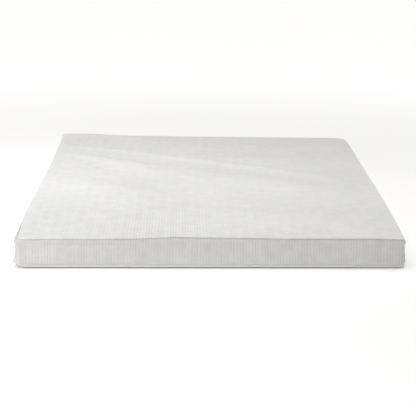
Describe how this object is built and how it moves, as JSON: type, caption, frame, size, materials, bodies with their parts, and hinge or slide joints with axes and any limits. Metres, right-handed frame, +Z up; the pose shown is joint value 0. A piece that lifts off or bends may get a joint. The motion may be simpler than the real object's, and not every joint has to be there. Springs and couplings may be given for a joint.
{
  "type": "mattress topper",
  "caption": "Filled mattress topper in a pale ribbed knit cover, with sewn top and under-cloth, a tall side band and a rolled bottom seam.",
  "frame": {"origin": "middle of the topper in plan, on the plane that it lies on", "axes": "+Z up, +Y along the length towards the head end, -Y towards the foot end, +X to the right as seen from the foot"},
  "size_m": [1.548, 2.0485, 0.142],
  "materials": {
    "top_knit": "ribbed double knit, matt",
    "band_knit": "ribbed double knit, matt",
    "under_cloth": "plain woven cloth, matt",
    "welt_cloth": "folded cloth, matt"
  },
  "bodies": {
    "root": {"filled_band": "band_knit", "top_panel": "top_knit", "bottom_panel": "under_cloth", "bottom_welt": "welt_cloth"}
  },
  "joints": []
}
